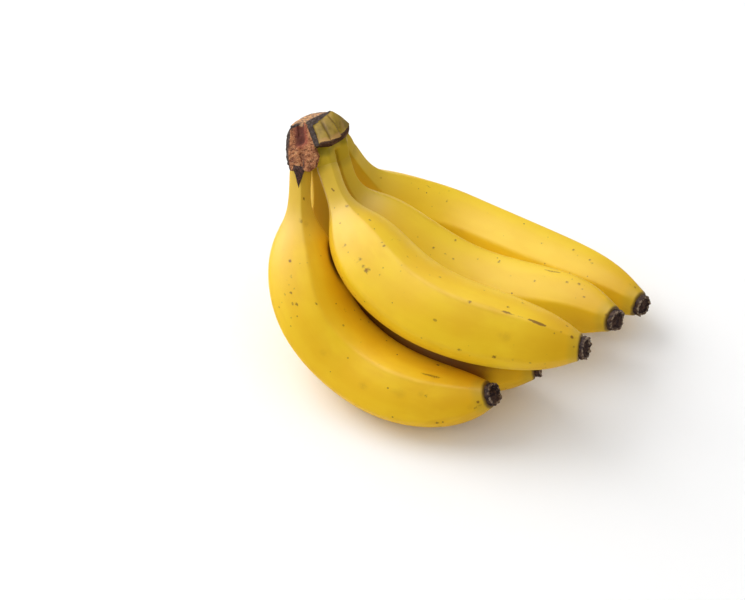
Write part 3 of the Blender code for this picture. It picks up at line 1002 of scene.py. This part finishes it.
def makeCrown():
    lumps = [growLump(name, *values) for name, values in crownForm["lumps"].items()]
    lumps.append(growSkirt())
    lumps += [growSleeve(node, course) for node, course in courses.items()]
    trees = {}
    for lump in lumps:
        shape = bmesh.new()
        shape.from_mesh(lump.data)
        trees[lump.name] = BVHTree.FromBMesh(shape)
        shape.free()
    deselectAll()
    for lump in lumps:
        lump.select_set(True)
    crown = lumps[0]
    bpy.context.view_layer.objects.active = crown
    bpy.ops.object.join()
    crown.name = crown.data.name = "crownTissue"
    faceOutwards(crown)
    crown.data.remesh_voxel_size = crownForm["grain"] * mm
    crown.data.remesh_voxel_adaptivity = 0.0
    bpy.ops.object.voxel_remesh()
    applyModifier(crown, "SMOOTH", factor=crownForm["smoothing"],
                  iterations=crownForm["softness"])
    points, edges = readPoints(crown.data), edgePairs(crown.data)
    masks = findMasks(points, trees, edges)
    # the skirt and the sleeves run into each other more softly than the rest
    plain = np.clip(1 - sum(masks.values()), 0, 1)[:, None]
    for _ in range(crownForm["skirtSoftness"]):
        points = points + (softened(points, edges) - points) * plain
    writePoints(crown.data, points)
    findLines(points, masks)
    raiseTissue(crown.data, points, masks)
    for field, values in masks.items():
        writeField(crown.data, field, values)
    smoothFaces(crown)
    return crown


skinLook = {
    "tones": {
        "ripe": tone(233, 185, 18), "pale": tone(238, 195, 30), "gold": tone(223, 166, 4),
        "lemon": tone(238, 204, 40), "worn": tone(200, 150, 28), "neck": tone(208, 166, 16),
        "stalk": tone(216, 178, 66), "olive": tone(194, 170, 24), "root": tone(182, 152, 34),
        "tip": tone(212, 158, 4), "tipGreen": tone(180, 152, 40), "tipBrown": tone(82, 60, 40),
        "speck": tone(104, 58, 4), "bruise": tone(172, 120, 20), "scuff": tone(104, 56, 2),
        "pressed": tone(124, 60, 6),
    },
    # how many to the metre, how detailed, how rough, and how each is stretched along the finger
    "patterns": {
        "cloud": (38.0, 3.0, 0.55), "patch": (95.0, 3.0, 0.6, (1.0, 1.0, 0.4)),
        "lines": (900.0, 2.0, 0.6, (1.0, 1.0, 0.035)), "crowd": (26.0, 2.0),
        "blot": (1300.0, 3.0, 0.6), "pores": (1900.0, 2.0, 0.6),
    },
    "fineSpecks": 150.0, "bigSpecks": 85.0, "bigStretch": (1.0, 1.0, 0.7),
    "specular": 0.13, "roughness": (0.44, 0.53), "bump": (0.00030, 0.7),
}


def bananaSkin():
    look = Look("bananaSkin", skinLook)
    ramp = look.ramp
    peel = look.field("peel", "Vector")
    share, ridge, green = look.field("share"), look.field("ridge"), look.field("green")
    cloud, patch, lines, crowd, blot, pores = look.patterns(peel)
    # sugar specks: small round spots where a cell's point lies just under the skin
    fineSpeck = ramp(look.cells(peel, skinLook["fineSpecks"]), 0.080, 0.045)
    bigPoint = look.cells(look.stretched(peel, skinLook["bigStretch"]), skinLook["bigSpecks"])
    bigSpeck = ramp(bigPoint.ragged(patch, 0.05), 0.060, 0.035)
    specks = fineSpeck * (ramp(crowd, 0.42, 0.60) * 0.6 + 0.25) + bigSpeck * 0.5
    colour = look.layered("ripe", [
        ("pale", ramp(cloud, 0.35, 0.68)),
        ("gold", ramp(patch, 0.45, 0.75) * 0.5),
        ("gold", ramp(lines, 0.42, 0.70) * 0.06),
        # between the ridges the skin is a deeper gold, and the ridges are worn and browner
        ("gold", ramp(ridge.ragged(cloud, 1.2), 0.0, -1.0) * 0.35),
        ("lemon", green * 0.9),
        ("worn", ramp(ridge.ragged(patch, 0.5), 0.90, 1.10) * 0.25),
        # the neck is deeper in tone, and the stalk keeps some green, most of all by the crown
        ("neck", ramp(share.ragged(cloud, 0.08), 0.34, 0.16) * (green * 0.5 + 0.1)),
        ("stalk", ramp(share.ragged(cloud, 0.06), 0.23, 0.13) * 0.65),
        ("olive", ramp(share.ragged(cloud, 0.10) - ridge * 0.012, 0.27, 0.06) * green * 0.8),
        ("root", ramp(share.ragged(cloud, 0.02) - green * 0.03, 0.042, 0.008) * 0.9),
        # the blossom end ripens to gold, then a thin greenish ring and a brown edge
        ("tip", ramp(share.ragged(patch, 0.05), 0.80, 0.96) * 0.6),
        ("tipGreen", ramp(share.ragged(patch, 0.02), 0.955, 0.985) * 0.5),
        ("tipBrown", ramp(share.ragged(patch, 0.012), 0.989, 0.998) * 0.85),
        ("speck", specks),
        ("bruise", look.field("bruise") * ramp(blot, 0.3, 0.6, 0.5, 1.0) * 0.5),
        ("scuff", ramp(look.field("mark").ragged(blot, 0.8), 0.22, 0.75) * 0.82),
        # where two fingers press together the skin is painted a dull reddish brown, partly the
        # browning of pressed skin and partly painted shade in the crevice between them
        ("pressed", ramp(look.field("touchShade").ragged(patch, 0.3), 0.2, 0.9) * 0.85),
    ])
    height = lines * 0.12 + cloud * 0.5 + patch * 0.3 - specks * 0.4 + pores * 0.22
    roughness = ramp(patch, 0.3, 0.75, *skinLook["roughness"])
    return look.finish(Base_Color=colour, Roughness=roughness, Normal=look.bump(height))


crownLook = {
    "tones": {
        "skirt": tone(138, 118, 18), "skirtPale": tone(156, 134, 28),
        "skirtLow": tone(186, 156, 34), "cut": tone(170, 110, 70), "cutDeep": tone(96, 50, 32),
        "cutPale": tone(220, 166, 114), "blush": tone(132, 56, 42), "red": tone(64, 18, 12),
        "rib": tone(122, 98, 24), "ribPale": tone(156, 128, 40), "ribPink": tone(186, 142, 82),
        "groove": tone(84, 58, 16), "lip": tone(66, 42, 26), "lipPale": tone(150, 106, 76),
        "top": tone(132, 104, 84), "dry": tone(52, 38, 32), "steel": tone(84, 72, 66),
        "flap": tone(96, 62, 54),
    },
    "patterns": {
        "grain": (1500.0, 4.0, 0.65), "fibre": (780.0, 4.0, 0.62, (1.0, 1.0, 0.65)),
        "cloud": (150.0, 3.0, 0.55), "streak": (420.0, 2.0, 0.5, (1.0, 0.3, 0.3)),
        "blotch": (300.0, 3.0, 0.6),
    },
    "specular": 0.07, "roughness": (0.55, 0.85), "bump": (0.0006, 0.8),
}


def crownSkin():
    look = Look("crownTissue", crownLook)
    ramp, field = look.ramp, look.field
    grain, fibre, cloud, streak, blotch = look.patterns(look.place())
    cut, top, dark, lip, flap = (field(name) for name in ("cut", "top", "dark", "lip", "flap"))
    skirt = look.layered("skirt", [("skirtPale", ramp(cloud, 0.35, 0.7))])
    cutTone = look.layered("cutDeep", [
        ("cut", ramp(fibre, 0.38, 0.56)),
        ("cutPale", ramp(grain, 0.52, 0.64) * 0.6),
        ("cutDeep", ramp(blotch, 0.50, 0.66) * 0.6),
        ("cutPale", ramp(blotch, 0.44, 0.32) * 0.4),
        ("blush", ramp(field("blush").ragged(fibre, 0.8), 0.3, 1.0) * 0.7),
    ])
    ribTone = look.layered("rib", [
        ("ribPale", ramp(cloud, 0.35, 0.65)),
        ("ribPink", ramp(streak, 0.48, 0.72) * 0.3),
        ("ribPink", ramp(field("tan").ragged(streak, 0.9), 0.15, 1.0) * 0.75),
    ])
    lipTone = look.layered("lip", [
        ("lipPale", ramp(grain, 0.50, 0.75) * 0.4),
        ("lipPale", field("lipLine") * 0.8),
    ])
    topTone = look.layered("top", [("cutPale", ramp(fibre, 0.40, 0.65))])
    darkTone = look.layered("dry", [("steel", ramp(fibre, 0.42, 0.66))])
    flapTone = look.layered("dry", [("flap", ramp(grain, 0.42, 0.62))])
    colour = look.layered("skirtLow", [
        (skirt, ramp(field("under").ragged(cloud, 0.3), 0.1, 0.9)),
        (ribTone, ramp(field("rib"), 0.35, 0.65)),
        (cutTone, ramp(cut.ragged(grain, 0.3), 0.35, 0.6)),
        (topTone, ramp(top.ragged(grain, 0.3), 0.35, 0.6)),
        (lipTone, ramp(lip.ragged(grain, 0.2), 0.4, 0.6)),
        (darkTone, ramp(dark.ragged(grain, 0.2), 0.4, 0.6)),
        (flapTone, ramp(flap, 0.3, 0.6)),
        # the grooves between the ribs are darker: partly a brown line in them, partly painted shade
        # in the crease
        ("groove", field("groove") * 0.7),
        ("red", ramp(field("hollow").ragged(fibre, 0.5), 0.3, 0.95) * 0.8),
        (darkTone, ramp(field("dry").ragged(grain, 0.5), 0.35, 0.75)),
    ])
    wild = cut + top + dark + flap + lip
    height = (fibre * 0.6 + grain * 0.6) * ramp(wild, 0.0, 0.6, 0.12, 1.0)
    roughness = ramp(wild, 0.1, 0.6, *crownLook["roughness"])
    return look.finish(Base_Color=colour, Roughness=roughness, Normal=look.bump(height))


blossomLook = {
    "tones": {"base": tone(44, 30, 30), "dry": tone(78, 58, 48), "pale": tone(150, 130, 108)},
    "patterns": {"grain": (900.0, 4.0, 0.65), "lumps": (380.0, 2.0, 0.5)},
    "specular": 0.08, "roughness": (0.7, 0.92), "bump": (0.0007, 0.9),
}


def dryBlossom():
    look = Look("dryBlossom", blossomLook)
    ramp = look.ramp
    grain, lumps = look.patterns(look.place())
    cracked = ramp(look.field("rim") * ramp(grain, 0.38, 0.6), 0.15, 0.7) * 0.7
    colour = look.layered("base", [
        ("dry", ramp(lumps, 0.35, 0.65)),
        ("pale", cracked + ramp(grain, 0.56, 0.68) * 0.35),
    ])
    height = grain * 0.6 + lumps
    roughness = ramp(grain, 0.3, 0.7, *blossomLook["roughness"])
    return look.finish(Base_Color=colour, Roughness=roughness, Normal=look.bump(height))


def dress(piece, material, node):
    piece.data.materials.clear()
    piece.data.materials.append(material)
    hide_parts(node)
    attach(piece, "root")


skin, tissue, blossom = bananaSkin(), crownSkin(), dryBlossom()
print("materials made")
straight = straightFinger()
disc = blossomEnd()
for number, (node, settings) in enumerate(fingers.items(), start=1):
    banana = makeBanana(node, settings, straight)
    dress(banana, skin, node)
    end = makeBlossomEnd(number, courses[node], disc)
    dress(end, blossom, "blossom_end_" + str(number))
    print(settings["piece"], "and its blossom end made")
throwAway(straight)
throwAway(disc)
crown = makeCrown()
dress(crown, tissue, "crown")
print("crown made:", len(crown.data.polygons), "faces")


stage = {"floorSize": 12.0, "drop": 0.05, "tone": (0.965, 0.965, 0.965), "shade": 0.985,
         "clouds": (3.0, 2.0), "specular": 0.0, "roughness": 0.9}


def makeFloor():
    deselectAll()
    bpy.ops.mesh.primitive_plane_add(size=stage["floorSize"], location=(0, 0, -stage["drop"] * mm))
    floor = bpy.context.object
    floor.name = "floor"
    look = Look("paleFloor", stage)
    cloud = look.noise(look.place(), *stage["clouds"])
    shaded = tuple(part * stage["shade"] for part in stage["tone"])
    colour = look.mix(cloud, shaded, stage["tone"])
    floor.data.materials.append(look.finish(Base_Color=colour, Roughness=stage["roughness"]))


# the two cards only show in the sheen of the skin, and the sky only in its colour
lights = {
    "skyTowards": (-0.22, 0.48, 0.84), "skyTurn": (-0.6, 1.0), "sky": (0.47, 0.82),
    "key": {"place": (-0.88, 0.42, 1.00), "size": 1.1, "power": 12.5, "aim": (0.0, 0.0, 0.02)},
    "sideCard": {"place": (-1.15, 0.12, 0.72), "size": 1.0, "power": 62.0,
                 "aim": (0.0, 0.0, 0.05), "sheenOnly": True},
    "topCard": {"place": (-0.30, 0.50, 1.20), "size": 1.6, "power": 86.0,
                "aim": (0.0, 0.0, 0.05), "sheenOnly": True},
}


def makeLights():
    sky = Sky("softStudio")
    bpy.context.scene.world = sky.world
    sky.world.cycles_visibility.glossy = False
    towards = sky.add("ShaderNodeTexCoord", output="Generated")
    facing = sky.add("ShaderNodeVectorMath", {"operation": "DOT_PRODUCT"},
                     {0: towards, 1: lights["skyTowards"]}, output="Value")
    sky.feed(sky.shader.inputs["Color"], (1.0, 1.0, 1.0))
    strength = sky.ramp(facing, *lights["skyTurn"], *lights["sky"])
    sky.feed(sky.shader.inputs["Strength"], strength)
    for name in ("key", "sideCard", "topCard"):
        settings = lights[name]
        lamp = bpy.data.lights.new(name, "AREA")
        lamp.shape = "SQUARE"
        lamp.size = settings["size"]
        lamp.energy = settings["power"]
        holder = bpy.data.objects.new(name, lamp)
        holder.location = settings["place"]
        aim = Vector(settings["aim"]) - Vector(settings["place"])
        holder.rotation_euler = aim.to_track_quat("-Z", "Y").to_euler()
        holder.visible_diffuse = not settings.get("sheenOnly", False)
        bpy.context.scene.collection.objects.link(holder)


makeFloor()
makeLights()
makeCamera()
bpy.context.scene.view_settings.view_transform = "Standard"
bpy.context.scene.view_settings.look = "None"
print("floor, light and camera ready")
